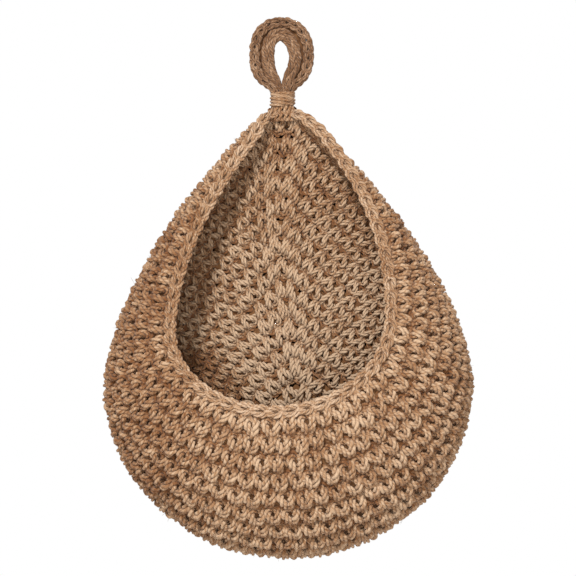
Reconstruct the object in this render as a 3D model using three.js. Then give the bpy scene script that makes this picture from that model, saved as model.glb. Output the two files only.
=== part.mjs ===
// Crocheted wall basket: a teardrop pouch of jute yarn that hangs from one loop.
// The fabric is split into its rounds of stitches, because crochet comes apart round by round.
// Lengths are millimetres. X is right, Z is up, and the wall is behind, on the +Y side.
// The origin is the hanging point, the top of the hole in the loop.

import * as THREE from 'three';

// Yarn and fabric
const fit = 0.3; // gap between neighbouring pieces
const seam = 0.25; // how far the wall stops short of the panel's edge
const fabric = 5.6; // thickness of the fabric in the middle of a round
const groove = 0.9; // depth of the groove between two rounds, on each face

// Hanging loop
const holeHalfWidth = 4.4;
const holeHeight = 22.6;
const loopHalfWidth = 18.5;
const strapTop = 12.1; // width of the strap above the hole
const footHeight = 6.6; // height of the round bar under the hole
const strapThickness = 6;

// Gathered neck and its wrap
const wrapYarn = 2.1;
const wrapGap = 0.5; // gap between two turns
const wrapTurns = 3;
const neckHalfWidth = 4.9;
const neckHalfDepth = 3.9;
const collarHeight = 2.1;
const collarHalfWidth = 8;
const collarHalfDepth = 5.6;
const standoff = 6.8; // from the middle of the loop to the wall

// Outline of the pouch, seen from the front
const bodyHalfWidth = 105;
const bodyLowerHeight = 99.5; // from the widest line down to the bottom
const bodyUpperHeight = 156.8; // from the widest line up to the top of the panel
const pointHeight = 11; // how far the outline's sides would run on above the panel
const panelTopHalfWidth = 8; // the panel's flat top under the neck
const startAside = 5; // where the panel starts, to the right of the middle
const roundSwell = 60; // how far the first rounds would swell on both sides of their peak

// Mouth, measured at the inner edge of the rim
const mouthHalfWidth = 59;
const mouthLowerHeight = 46; // from the mouth's widest line down to its lowest point
const mouthUpperHeight = 121.5; // from the mouth's widest line up to the top of the panel
const mouthPointHeight = 5; // how far its sides would run on above the panel
const mouthSway = 3.6; // how far the handmade mouth wanders to either side
const rimWidth = 5.2;
const rimThickness = 6.4;

// Depth of the pouch, measured from the wall
const depthAtFoot = 78; // middle of the rim at its lowest point
const depthAtNeck = 11; // middle of the rim at the neck

// Rounds
const panelRounds = 15;
const pocketRounds = 12;
const wedge = 1; // height of a short row where it runs out

// Shares of the sizes that they follow
const outlinePowerShare = 1.65; // how full the sides are: 1 is straight, 2 a parabola
const mouthPowerShare = 2;
const depthPowerShare = 0.87; // how the rim comes forward from neck to foot: 1 is a straight line
const widestDepthShare = 0.27; // how the widest line comes forward, of how the rim does
const edgeInsetShare = 0.075; // how the panel draws in from the widest line, of the same
const leastRowShare = 0.4; // a round this much lower than a full one joins its neighbour
const sideRoundShare = 0.89; // height of a pocket round beside the mouth, of one under it
const loopPowerShare = 2.4; // how square the loop's outline is: 2 is an ellipse
const holePowerShare = 1.8;
const laneShare = 0.5; // inner course of the strap, of the strap's width
const swayPhaseShare = 0.1; // where the mouth wanders most, of its height
const swayLengthShare = 0.95; // half a wave of the wander, of its height
const startShare = 0.23; // how far the panel starts below the widest line, of the lower part
const swellShares = { low: -0.2, high: 0.6 }; // heights round the start where the swell sets in
const crownShare = 0.5; // where a panel round is thickest, of its height
const leanShare = 0.06; // how far the peaks lean to the left half-way, of their distance
const laneEndShare = 0.11; // where the inner course runs out, of the half turn from the bar
const laneFullShare = 0.44; // where it has its full width

// Counts
const lowerSteps = 11; // stations beside the lower half of the mouth
const upperSteps = 10;
const wallSteps = 28; // points along one section of the wall
const searchSteps = 40;
const loopSteps = 32;
const innerSteps = 12; // stations of the inner course on each side of its top
const strapSides = 8;
const neckSides = 16;
const turnSteps = 24;
const wrapSides = 6;
const tuckSteps = 3; // stations of each end of the rim under the collar

// Jute: its colour, its roughness, and how much lighter or darker each kind of piece is
const juteColour = [0.60, 0.47, 0.36];
const juteRoughness = 0.92;
const toneShares = { odd: 0.01, even: -0.01, panel: -0.02, rim: 0.05, neck: -0.04, wrap: 0.06 };

// Heights that follow from the sizes
const seatZ = -(holeHeight + footHeight + fit);
const wrapPitch = wrapYarn + wrapGap;
const wrapTopZ = seatZ - fit;
const wrapFootZ = wrapTopZ - wrapYarn - wrapTurns * wrapPitch;
const collarTopZ = wrapFootZ - fit;
const collarFootZ = collarTopZ - collarHeight;
const panelTopZ = collarFootZ - fit;
const widestZ = panelTopZ - bodyUpperHeight;
const mouthWidestZ = panelTopZ - mouthUpperHeight;
const startZ = widestZ - startShare * bodyLowerHeight;
const mouthTopZ = panelTopZ - rimWidth; // the rim's last full section starts here

const basket = new THREE.Group();

// Colours of the jute, a little apart from round to round
function jute(tone) {
  const colour = new THREE.Color().setRGB(...juteColour, THREE.SRGBColorSpace);
  colour.offsetHSL(0, 0, tone);
  return new THREE.MeshStandardMaterial({ color: colour, roughness: juteRoughness, metalness: 0 });
}

function addPiece(name, geometry, tone) {
  const mesh = new THREE.Mesh(geometry, jute(tone));
  mesh.name = name;
  basket.add(mesh);
  return mesh;
}

// A closed body through a row of sections, each a ring with the same number of points.
// An open body gets a cap at each end, fanned from the middle of its last section.
// The last side is split the other way, so that two twisted rounds meet face to face.
function loft(sections, closed) {
  const sides = sections[0].length;
  const points = sections.flat();
  const faces = [];
  const spans = closed ? sections.length : sections.length - 1;
  for (let i = 0; i < spans; i += 1) {
    const a = i * sides;
    const b = ((i + 1) % sections.length) * sides;
    for (let j = 0; j < sides; j += 1) {
      const k = (j + 1) % sides;
      if (k) {
        faces.push(a + j, b + j, b + k, a + j, b + k, a + k);
      } else {
        faces.push(a + j, b + j, a + k, b + j, b + k, a + k);
      }
    }
  }
  if (!closed) {
    capEnd(points, faces, sections[0], 0, true);
    capEnd(points, faces, sections[spans], spans * sides, false);
  }
  return solid(points, faces);
}

function capEnd(points, faces, section, first, flip) {
  const middle = new THREE.Vector3();
  section.forEach((point) => middle.add(point));
  middle.divideScalar(section.length);
  const centre = points.length;
  points.push(middle);
  for (let j = 0; j < section.length; j += 1) {
    const k = (j + 1) % section.length;
    const a = first + (flip ? j : k);
    const b = first + (flip ? k : j);
    faces.push(centre, a, b);
  }
}

// Turns the faces outward, whichever way the sections were listed
function solid(points, faces) {
  let volume = 0;
  const cross = new THREE.Vector3();
  for (let i = 0; i < faces.length; i += 3) {
    cross.crossVectors(points[faces[i + 1]], points[faces[i + 2]]);
    volume += points[faces[i]].dot(cross);
  }
  const order = volume < 0 ? faces.slice().reverse() : faces;
  const geometry = new THREE.BufferGeometry().setFromPoints(points);
  geometry.setIndex(order);
  geometry.computeVertexNormals();
  return geometry;
}

const mix = THREE.MathUtils.lerp;
const smooth = THREE.MathUtils.smoothstep;

// Outline of the pouch: an ellipse below its widest line and full sides above
function outlineHalfWidth(z) {
  if (z < widestZ) {
    const down = (widestZ - z) / bodyLowerHeight;
    return bodyHalfWidth * Math.sqrt(Math.max(0, 1 - down * down));
  }
  const up = (z - widestZ) / (bodyUpperHeight + pointHeight);
  return bodyHalfWidth * Math.max(0, 1 - up ** outlinePowerShare);
}

// The mouth wanders a little from side to side, as handmade rounds do
function sway(z) {
  const down = (panelTopZ - z) / (mouthUpperHeight + mouthLowerHeight);
  const settle = smooth(down, 0, swayPhaseShare);
  return mouthSway * settle * Math.cos(Math.PI * (down - swayPhaseShare) / swayLengthShare);
}

// Inner edge of the rim. A station's place runs from 0 at the foot to 1 at the neck.
const split = lowerSteps / (lowerSteps + upperSteps);

function mouthPoint(side, place) {
  if (place < split) {
    const angle = (place / split) * Math.PI / 2;
    const z = mouthWidestZ - mouthLowerHeight * Math.cos(angle);
    return new THREE.Vector2(side * mouthHalfWidth * Math.sin(angle) + sway(z), z);
  }
  const rise = (place - split) / (1 - split);
  const z = mix(mouthWidestZ, mouthTopZ, rise);
  const up = (z - mouthWidestZ) / (mouthUpperHeight + mouthPointHeight);
  const x = side * mouthHalfWidth * (1 - up ** mouthPowerShare) + sway(z);
  return new THREE.Vector2(x, z);
}

// Direction away from the mouth, square to its edge
function mouthNormal(side, place) {
  if (place === 0) {
    return new THREE.Vector2(0, -1);
  }
  const nudge = 1 / (2 * (lowerSteps + upperSteps));
  const before = mouthPoint(side, place - nudge);
  const after = mouthPoint(side, Math.min(1, place + nudge));
  const along = after.sub(before).normalize();
  return new THREE.Vector2(side * along.y, -side * along.x);
}

// How far the outline lies from the mouth in that direction
function reachToOutline(start, direction) {
  let near = 0;
  let far = 2 * bodyHalfWidth;
  for (let i = 0; i < searchSteps; i += 1) {
    const middle = (near + far) / 2;
    const x = start.x + direction.x * middle;
    const z = start.y + direction.y * middle;
    if (Math.abs(x) < outlineHalfWidth(z)) {
      near = middle;
    } else {
      far = middle;
    }
  }
  return near;
}

// One station: the section of the wall from the rim round its widest line to the panel
function makeStation(side, place) {
  const start = mouthPoint(side, place);
  const direction = mouthNormal(side, place);
  const down = (panelTopZ - start.y) / (mouthUpperHeight + mouthLowerHeight);
  const forward = (depthAtFoot - depthAtNeck) * down ** depthPowerShare;
  const rimDepth = depthAtNeck + forward;
  const rimEdge = rimWidth + fit;
  const widest = reachToOutline(start, direction) - fabric / 2;
  const widestDepth = fabric + widestDepthShare * forward;
  const inset = fabric / 2 + edgeInsetShare * forward;
  const tuck = 1 - smooth(widest - rimEdge, 0, fabric);
  const firstOut = mix(rimEdge, Math.min(rimEdge, widest), tuck);
  const firstDepth = rimDepth - tuck * (rimThickness / 2 + fit + fabric / 2 - groove);
  const path = [];
  for (let i = 0; i <= wallSteps; i += 1) {
    const turn = (i / wallSteps) * Math.PI / 2;
    const out = firstOut + (widest - firstOut) * Math.sin(turn);
    const depth = widestDepth + (firstDepth - widestDepth) * Math.cos(turn);
    path.push(new THREE.Vector2(out, depth));
  }
  for (let i = 1; i <= wallSteps; i += 1) {
    const turn = (i / wallSteps) * Math.PI / 2;
    const out = widest - (inset - seam) * (1 - Math.cos(turn));
    const depth = fabric / 2 + (widestDepth - fabric / 2) * (1 - Math.sin(turn));
    path.push(new THREE.Vector2(out, depth));
  }
  const lengths = [0];
  for (let i = 1; i < path.length; i += 1) {
    lengths.push(lengths[i - 1] + path[i].distanceTo(path[i - 1]));
  }
  const total = lengths[lengths.length - 1];
  const edge = start.clone().addScaledVector(direction, widest - inset);
  return { side, place, start, direction, rimDepth, path, lengths, total, edge };
}

// A point on the wall: its distance from the rim along the section, and its height off the middle
function wallPoint(station, along, off) {
  const { path, lengths } = station;
  let i = 1;
  while (i < path.length - 1 && lengths[i] < along) {
    i += 1;
  }
  const share = (along - lengths[i - 1]) / (lengths[i] - lengths[i - 1]);
  const spot = path[i - 1].clone().lerp(path[i], share);
  const step = path[i].clone().sub(path[i - 1]).normalize();
  const out = spot.x + step.y * -off;
  const depth = spot.y + step.x * off;
  return place3(station, out, depth);
}

function place3(station, out, depth) {
  const x = station.start.x + station.direction.x * out;
  const z = station.start.y + station.direction.y * out;
  return new THREE.Vector3(x, standoff - depth, z);
}

// Stations from the neck down the left side, round the foot and up the right side
const steps = lowerSteps + upperSteps;
const stations = [];
for (let i = -steps; i <= steps; i += 1) {
  stations.push(makeStation(i < 0 ? -1 : 1, Math.abs(i) / steps));
}

// All the rounds pass under the mouth, and their height there sets the height beside it
const footHeightOfRound = stations[steps].total / pocketRounds;
stations.forEach((station) => {
  const beside = smooth(station.place, 0, split);
  station.height = footHeightOfRound * mix(1, sideRoundShare, beside);
  const whole = Math.max(1, Math.ceil(station.total / station.height - leastRowShare));
  station.full = Math.min(whole, pocketRounds);
});

// Rounds at one station: full ones by their height, then the wedges of rows that run out there
function roundEdges(index) {
  const station = stations[index];
  const beside = [index - 1, index + 1].map((i) => (stations[i] ? stations[i].full : 0));
  const last = Math.max(station.full, ...beside);
  const edges = [0];
  for (let row = 1; row < station.full; row += 1) {
    edges.push(row * station.height);
  }
  edges.push(station.total - (last - station.full) * wedge);
  for (let row = station.full + 1; row <= last; row += 1) {
    edges.push(station.total - (last - row) * wedge);
  }
  return edges;
}

const allEdges = stations.map((station, index) => roundEdges(index));

function roundTone(row) {
  return row % 2 ? toneShares.odd : toneShares.even;
}

function roundSection(station, near, far) {
  const middle = (near + far) / 2;
  const side = fabric / 2 - groove;
  const crown = side + groove * Math.min(1, (far - near) / station.height);
  return [
    wallPoint(station, near, side),
    wallPoint(station, middle, crown),
    wallPoint(station, far, side),
    wallPoint(station, far, -side),
    wallPoint(station, middle, -crown),
    wallPoint(station, near, -side),
  ];
}

function addPocket() {
  const most = Math.max(...stations.map((station) => station.full));
  for (let row = 1; row <= most; row += 1) {
    const sections = [];
    stations.forEach((station, index) => {
      const edges = allEdges[index];
      if (edges.length > row) {
        const near = edges[row - 1] + (row > 1 ? fit / 2 : 0);
        const far = edges[row] - (row < edges.length - 1 ? fit / 2 : 0);
        sections.push(roundSection(station, near, far));
      }
    });
    const number = String(row).padStart(2, '0');
    addPiece(`pocket_round_${number}`, loft(sections, false), roundTone(row));
  }
}

// The rim braid follows the mouth, and its ends turn in under the collar of the neck
function rimSection(centre, across) {
  const ring = [];
  for (let j = 0; j < strapSides; j += 1) {
    const angle = (j / strapSides) * 2 * Math.PI;
    const out = (rimWidth / 2) * Math.cos(angle);
    const off = (rimThickness / 2) * Math.sin(angle);
    const x = centre.x + across.x * out;
    const z = centre.z + across.y * out;
    ring.push(new THREE.Vector3(x, centre.y + off, z));
  }
  return ring;
}

function rimCentre(station) {
  return place3(station, rimWidth / 2, station.rimDepth);
}

function rimTuck(station) {
  const from = rimCentre(station);
  const side = station.side;
  const endX = side * (rimWidth / 2 + fit);
  const endY = standoff - fabric - rimThickness / 2 - fit;
  const end = new THREE.Vector3(endX, endY, collarFootZ - fit);
  const rise = Math.abs(station.direction.x);
  const along = new THREE.Vector3(-side * Math.abs(station.direction.y), 0, rise);
  const bend = from.clone().addScaledVector(along.normalize(), from.distanceTo(end) / 2);
  const curve = new THREE.QuadraticBezierCurve3(from, bend, end);
  const sections = [];
  for (let i = 1; i <= tuckSteps; i += 1) {
    const across = station.direction.clone().lerp(new THREE.Vector2(side, 0), i / tuckSteps).normalize();
    sections.push(rimSection(curve.getPoint(i / tuckSteps), across));
  }
  return sections;
}

function addRim() {
  const sections = stations.map((station) => rimSection(rimCentre(station), station.direction));
  const left = rimTuck(stations[0]).reverse();
  const right = rimTuck(stations[stations.length - 1]);
  addPiece('rim_edging', loft([...left, ...sections, ...right], false), toneShares.rim);
}

// Panel: rounds between its start and the edge that the wall gives it
const panelEdge = stations.map((station) => station.edge.clone());
panelEdge.push(new THREE.Vector2(panelTopHalfWidth, panelTopZ));
panelEdge.push(new THREE.Vector2(-panelTopHalfWidth, panelTopZ));
const panelRadii = panelEdge.map((point) => Math.hypot(point.x - startAside, point.y - startZ));
const panelTurns = panelEdge.map((point) => Math.atan2(point.y - startZ, point.x - startAside));

// The rounds are fuller near the start, and take the shape of the edge on their way out
function panelRadius(index, share) {
  const turn = panelTurns[index];
  const rise = smooth(Math.sin(turn), swellShares.low, swellShares.high);
  const swell = roundSwell * rise * Math.abs(Math.cos(turn));
  return share * (panelRadii[index] + (1 - share) * swell);
}

// A point on the line of a round: share is its place between the start and the edge
function panelPoint(index, share, radius, depth) {
  const lean = leanShare * (4 * share * (1 - share)) ** 2;
  const turn = panelTurns[index] + lean;
  const x = startAside + radius * Math.cos(turn);
  return new THREE.Vector3(x, standoff - depth, startZ + radius * Math.sin(turn));
}

function addPanel() {
  const side = fabric - groove;
  for (let row = 1; row <= panelRounds; row += 1) {
    const inner = (row - 1) / panelRounds;
    const outer = row / panelRounds;
    const sections = panelEdge.map((edge, index) => {
      const near = row > 1 ? panelRadius(index, inner) + fit / 2 : 0;
      const far = panelRadius(index, outer) - fit / 2;
      const crown = panelPoint(index, inner, near, fabric);
      crown.lerp(panelPoint(index, outer, far, fabric), crownShare);
      const rounded = [panelPoint(index, outer, far, 0), panelPoint(index, outer, far, side), crown];
      if (row === 1) {
        return rounded;
      }
      const foot = [panelPoint(index, inner, near, 0)];
      return [...foot, ...rounded, panelPoint(index, inner, near, side)];
    });
    const number = String(row).padStart(2, '0');
    const geometry = row === 1 ? panelStart(sections) : loft(sections, true);
    addPiece(`panel_round_${number}`, geometry, toneShares.panel + roundTone(row));
  }
}

// The first round is a small disc, so its sections meet in the middle of each face
function panelStart(sections) {
  const points = sections.flat();
  const faces = [];
  const back = points.length;
  points.push(panelPoint(0, 0, 0, 0));
  const front = points.length;
  points.push(panelPoint(0, 0, 0, fabric));
  const sides = sections[0].length;
  for (let i = 0; i < sections.length; i += 1) {
    const a = i * sides;
    const b = ((i + 1) % sections.length) * sides;
    faces.push(back, b, a);
    for (let j = 0; j < sides - 1; j += 1) {
      faces.push(a + j, b + j, b + j + 1);
      faces.push(a + j, b + j + 1, a + j + 1);
    }
    faces.push(a + sides - 1, b + sides - 1, front);
  }
  return solid(points, faces);
}

// Gathered neck: a post inside the wrap with a collar that sits on the panel
function neckRing(z, halfWidth, halfDepth) {
  const ring = [];
  for (let j = 0; j < neckSides; j += 1) {
    const angle = (j / neckSides) * 2 * Math.PI;
    ring.push(new THREE.Vector3(halfWidth * Math.cos(angle), halfDepth * Math.sin(angle), z));
  }
  return ring;
}

function addNeck() {
  const sections = [
    neckRing(collarFootZ, collarHalfWidth, collarHalfDepth),
    neckRing(collarTopZ, collarHalfWidth, collarHalfDepth),
    neckRing(collarTopZ, neckHalfWidth, neckHalfDepth),
    neckRing(seatZ, neckHalfWidth, neckHalfDepth),
  ];
  addPiece('gathered_neck', loft(sections, false), toneShares.neck);
}

// One unbroken turn of yarn after another, with a straight end at the top and at the foot
const wrapHalfWidth = neckHalfWidth + fit + wrapYarn / 2;
const wrapHalfDepth = neckHalfDepth + fit + wrapYarn / 2;

class WrapPath extends THREE.Curve {
  turn(share) {
    const angle = share * wrapTurns * 2 * Math.PI;
    const z = wrapFootZ + wrapYarn / 2 + share * wrapTurns * wrapPitch;
    return new THREE.Vector3(wrapHalfWidth * Math.cos(angle), wrapHalfDepth * Math.sin(angle), z);
  }

  getPoint(share) {
    const inner = wrapTurns * turnSteps / (wrapTurns * turnSteps + 2);
    const place = (share - (1 - inner) / 2) / inner;
    const held = THREE.MathUtils.clamp(place, 0, 1);
    const point = this.turn(held);
    if (held !== place) {
      const ahead = this.turn(held + (held ? -1 : 1) / (wrapTurns * turnSteps));
      const over = Math.abs(place - held) * 2 * inner / (1 - inner);
      point.addScaledVector(point.clone().sub(ahead).normalize(), over * wrapYarn);
    }
    return point;
  }
}

// Least gap between one turn and the next, measured on points of the path
function leastWrapGap(path) {
  const count = 4 * wrapTurns * turnSteps;
  const points = path.getSpacedPoints(count);
  const apart = count / wrapTurns / 2;
  let least = Infinity;
  for (let i = 0; i < points.length; i += 1) {
    for (let j = i + apart; j < points.length; j += 1) {
      least = Math.min(least, points[i].distanceTo(points[j]));
    }
  }
  return least - wrapYarn;
}

function addWrap() {
  const path = new WrapPath();
  const section = new THREE.Shape();
  for (let j = 0; j < wrapSides; j += 1) {
    const angle = (j / wrapSides) * 2 * Math.PI;
    const x = (wrapYarn / 2) * Math.cos(angle);
    const y = (wrapYarn / 2) * Math.sin(angle);
    if (j) {
      section.lineTo(x, y);
    } else {
      section.moveTo(x, y);
    }
  }
  section.closePath();
  const settings = { steps: wrapTurns * turnSteps + 2, bevelEnabled: false, extrudePath: path };
  addPiece('neck_wrap', new THREE.ExtrudeGeometry(section, settings), toneShares.wrap);
  console.log('least gap between turns of the neck wrap, mm:', leastWrapGap(path).toFixed(2));
}

// Hanging loop: a strap of two courses round the hole, on a round bar that bends on the neck
const loopMiddleZ = (strapTop - holeHeight - footHeight) / 2;
const loopHalfHeight = (strapTop + holeHeight + footHeight) / 2;

function loopCurve(angle, halfWidth, halfHeight, middleZ, power) {
  const sine = Math.sin(angle);
  const cosine = Math.cos(angle);
  const x = halfWidth * Math.sign(sine) * Math.abs(sine) ** (2 / power);
  const z = middleZ + halfHeight * Math.sign(cosine) * Math.abs(cosine) ** (2 / power);
  return new THREE.Vector2(x, z);
}

function strapSection(angle, from, to) {
  const hole = loopCurve(angle, holeHalfWidth, holeHeight / 2, -holeHeight / 2, holePowerShare);
  const rim = loopCurve(angle, loopHalfWidth, loopHalfHeight, loopMiddleZ, loopPowerShare);
  const across = rim.clone().sub(hole);
  const width = across.length();
  const near = from * width + (from > 0 ? fit / 2 : 0);
  const far = to * width - (to < 1 ? fit / 2 : 0);
  across.normalize();
  const ring = [];
  for (let j = 0; j < strapSides; j += 1) {
    const turn = ((j + 0.5) / strapSides) * 2 * Math.PI;
    const square = Math.cos(Math.PI / strapSides);
    const out = (near + far) / 2 + (far - near) / 2 * Math.cos(turn) / square;
    const y = (strapThickness / 2) * Math.sin(turn);
    ring.push(new THREE.Vector3(hole.x + across.x * out, y, hole.y + across.y * out));
  }
  return ring;
}

// The inner course ends on both sides above the bar, where the outer one takes the whole width
function laneAt(angle) {
  const fromFoot = Math.PI - Math.abs(angle);
  return laneShare * smooth(fromFoot / Math.PI, laneEndShare, laneFullShare);
}

function addLoop() {
  const outer = [];
  for (let i = 0; i < loopSteps; i += 1) {
    const angle = (2 * i / loopSteps - 1) * Math.PI;
    outer.push(strapSection(angle, laneAt(angle), 1));
  }
  addPiece('loop_outer_course', loft(outer, true), toneShares.odd);
  const inner = [];
  for (let i = -innerSteps; i <= innerSteps; i += 1) {
    const angle = (2 * i / loopSteps) * Math.PI;
    inner.push(strapSection(angle, 0, laneAt(angle)));
  }
  addPiece('loop_inner_course', loft(inner, false), toneShares.even);
}

addPanel();
addPocket();
addRim();
addNeck();
addWrap();
addLoop();

export default basket;
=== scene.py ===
import math
from collections import namedtuple

import bpy
import numpy as np
from mathutils import Matrix, Vector


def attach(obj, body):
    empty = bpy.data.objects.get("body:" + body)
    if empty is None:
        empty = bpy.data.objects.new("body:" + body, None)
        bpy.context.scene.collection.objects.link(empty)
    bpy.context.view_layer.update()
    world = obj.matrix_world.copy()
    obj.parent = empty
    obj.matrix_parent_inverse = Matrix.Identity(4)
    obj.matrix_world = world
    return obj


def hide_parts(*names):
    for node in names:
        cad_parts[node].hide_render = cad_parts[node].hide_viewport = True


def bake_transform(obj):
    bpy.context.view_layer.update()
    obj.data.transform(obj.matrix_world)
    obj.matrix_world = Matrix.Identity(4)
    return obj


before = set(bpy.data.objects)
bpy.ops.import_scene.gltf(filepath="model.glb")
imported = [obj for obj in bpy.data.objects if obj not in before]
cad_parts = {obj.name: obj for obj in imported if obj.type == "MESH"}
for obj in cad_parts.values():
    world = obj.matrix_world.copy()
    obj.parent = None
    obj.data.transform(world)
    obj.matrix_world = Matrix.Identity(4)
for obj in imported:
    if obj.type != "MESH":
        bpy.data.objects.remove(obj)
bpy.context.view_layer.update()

# Crocheted jute wall basket. Every row of stitches is made of yarn: one strand runs through the whole
# row, and chains of two strands lie along its foot and along its back. Lengths are millimetres until
# the meshes are written. X is right as seen from the front, Z is up, and the wall is on the +Y side.

rng = np.random.default_rng(7)  # small differences from strand to strand

# Fabric. The sizes from here to the loop repeat those of the solids that the rows stand for.
FABRIC = 5.6  # thickness of the fabric in the middle of a round
GROOVE = 0.9  # depth of the groove between two rounds
FIT = 0.3  # gap between neighbouring pieces
SEAM = 0.25  # how far the wall stops short of the panel's edge
STANDOFF = 6.8  # from the middle of the loop to the wall
PANEL_ROUNDS, POCKET_ROUNDS = 15, 12
LEAST_ROW = 0.4  # a last round up to this high, of a full one, joins its neighbour
SIDE_ROUND = 0.89  # height of a pocket round beside the mouth, of one under it

# Neck wrap, and the panel's flat top under it
WRAP_TOP_Z, WRAP_FOOT_Z = -29.8, -39.7
PANEL_TOP_Z = -42.4
PANEL_TOP_HALF_WIDTH = 8.0

# Outline of the pouch, seen from the front
BODY_HALF_WIDTH = 105.0
BODY_LOWER = 99.5  # from the widest line down to the bottom
BODY_UPPER = 156.8  # from the widest line up to the top of the panel
BODY_POINT = 11.0  # how far the outline's sides would run on above the panel
OUTLINE_POWER = 1.65  # how full the sides are: 1 is straight, 2 a parabola
WIDEST_Z = PANEL_TOP_Z - BODY_UPPER

# Mouth, measured at the inner edge of the rim
MOUTH_HALF_WIDTH = 59.0
MOUTH_LOWER = 46.0  # from the mouth's widest line down to its lowest point
MOUTH_UPPER = 121.5  # from the mouth's widest line up to the top of the panel
MOUTH_POINT = 5.0  # how far its sides would run on above the panel
MOUTH_POWER = 2  # how full the mouth's sides are, as for the outline
MOUTH_SPLIT = 11.0 / 21.0  # share of the mouth's edge that lies below its widest line
RIM_WIDTH, RIM_THICKNESS = 5.2, 6.4
MOUTH_HEIGHT = MOUTH_UPPER + MOUTH_LOWER
MOUTH_WIDEST_Z = PANEL_TOP_Z - MOUTH_UPPER
MOUTH_TOP_Z = PANEL_TOP_Z - RIM_WIDTH
SWAY = 3.6  # how far the handmade mouth wanders to either side
SWAY_PHASE = 0.1  # where it wanders most, of the mouth's height
SWAY_LENGTH = 0.95  # half a wave of the wander, of the mouth's height

# Depth of the pouch, measured from the wall to the middle of the rim
DEPTH_FOOT, DEPTH_NECK = 78.0, 11.0
DEPTH_POWER = 0.87  # how the rim comes forward from neck to foot: 1 is a straight line
WIDEST_DEPTH = 0.27  # how the widest line comes forward, of how the rim does
EDGE_INSET = 0.075  # how the panel draws in from the widest line, of the same

# Panel: where it starts, how its first rounds swell beside their peak, and how their peaks lean
START_X, START_Z = 5.0, WIDEST_Z - 0.23 * BODY_LOWER
SWELL, SWELL_LOW, SWELL_HIGH = 60.0, -0.2, 0.6
PEAK_LEAN = 0.06

# Hanging loop
HOLE_HALF_WIDTH, HOLE_HEIGHT = 4.4, 22.6
LOOP_HALF_WIDTH = 18.5
STRAP_TOP = 12.1  # width of the strap above the hole
FOOT_HEIGHT = 6.6  # height of the foot under the hole
LOOP_MIDDLE_Z = (STRAP_TOP - HOLE_HEIGHT - FOOT_HEIGHT) / 2
LOOP_HALF_HEIGHT = (STRAP_TOP + HOLE_HEIGHT + FOOT_HEIGHT) / 2
LOOP_POWER = 2.4  # how square the loop's outline is: 2 is an ellipse
HOLE_POWERS = 2.6, 1.4  # the same for the left and the right half of the hole

# Yarn and stitches
PITCH, PANEL_PITCH = 9.4, 8.3  # width of a stitch of the pocket and of the panel
ROW = 8.5  # usual height of a row
YARN, PANEL_YARN = 2.05, 1.7  # radius of the strand of a row
CHAIN_YARN = 0.85  # radius of the chains beside it, of the strand's
ROPE = 1.8  # radius of the ropes of the rim and of the loop
PLY_LAY = 8.5  # length in which the plies of a strand turn round once
YARN_LAY = 11.0  # the same for the strand of a row and for the legs of a chain
FRONT = np.array([0.0, -1.0, 0.0])  # towards the viewer


def mix(a, b, t):
    """a where t is 0, b where it is 1."""
    return a + (b - a) * t


def smooth(x, low, high):
    """0 below low, 1 above high, and an even rise between them."""
    t = np.clip((x - low) / (high - low), 0, 1)
    return t * t * (3 - 2 * t)


def unit(vectors):
    """The same directions at length 1."""
    return vectors / np.maximum(np.linalg.norm(vectors, axis=-1, keepdims=True), 1e-9)


def distances(points):
    """How far along their line the points lie."""
    return np.concatenate([[0], np.cumsum(np.linalg.norm(np.diff(points, axis=0), axis=1))])


def between(at, places, values):
    """Vectors at new places, between those given at the old ones."""
    return np.stack([np.interp(at, places, column) for column in values.T], 1)


def spline(points, parts):
    """Points on a smooth curve through all the given ones."""
    p = np.asarray(points, float)
    p = np.concatenate([2 * p[:1] - p[1:2], p, 2 * p[-1:] - p[-2:-1]])
    t = (np.arange(parts) / parts)[None, :, None]
    a, b, c, d = p[:-3, None], p[1:-2, None], p[2:-1, None], p[3:, None]
    square = 2 * a - 5 * b + 4 * c - d
    cube = 3 * b - a - 3 * c + d
    curve = 0.5 * (2 * b + (c - a) * t + square * t * t + cube * t ** 3)
    return np.concatenate([curve.reshape(-1, p.shape[1]), p[-2:-1]])


# The pouch as smooth surfaces, on which the rows are laid

def outline_half_width(z):
    """Half the pouch's width: an ellipse below its widest line and full sides above."""
    down = (WIDEST_Z - z) / BODY_LOWER
    up = np.maximum(0, (z - WIDEST_Z) / (BODY_UPPER + BODY_POINT))
    lower = BODY_HALF_WIDTH * np.sqrt(np.maximum(0, 1 - down * down))
    upper = BODY_HALF_WIDTH * np.maximum(0, 1 - up ** OUTLINE_POWER)
    return np.where(z < WIDEST_Z, lower, upper)


def sway(z):
    """The mouth wanders a little from side to side, as handmade rounds do."""
    down = (PANEL_TOP_Z - z) / MOUTH_HEIGHT
    return SWAY * smooth(down, 0, SWAY_PHASE) * np.cos(math.pi * (down - SWAY_PHASE) / SWAY_LENGTH)


def mouth_edge(u):
    """Inner edge of the rim. u is 0 at the foot, and -1 and 1 at the neck on the left and the right."""
    side = np.where(u < 0, -1.0, 1.0)
    place = np.abs(u)
    low = place < MOUTH_SPLIT
    angle = np.minimum(place / MOUTH_SPLIT, 1) * math.pi / 2
    z_low = MOUTH_WIDEST_Z - MOUTH_LOWER * np.cos(angle)
    x_low = MOUTH_HALF_WIDTH * np.sin(angle)
    z_up = mix(MOUTH_WIDEST_Z, MOUTH_TOP_Z, (place - MOUTH_SPLIT) / (1 - MOUTH_SPLIT))
    up = np.maximum(0, z_up - MOUTH_WIDEST_Z) / (MOUTH_UPPER + MOUTH_POINT)
    x_up = MOUTH_HALF_WIDTH * (1 - up ** MOUTH_POWER)
    z = np.where(low, z_low, z_up)
    return np.stack([side * np.where(low, x_low, x_up) + sway(z), z], 1)


def mouth_normals(u):
    """Directions away from the mouth, square to its edge."""
    nudge = 0.004
    before = mouth_edge(np.clip(u - nudge, -1, 1))
    after = mouth_edge(np.clip(u + nudge, -1, 1))
    along = unit(after - before)
    return np.stack([along[:, 1], -along[:, 0]], 1)


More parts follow.
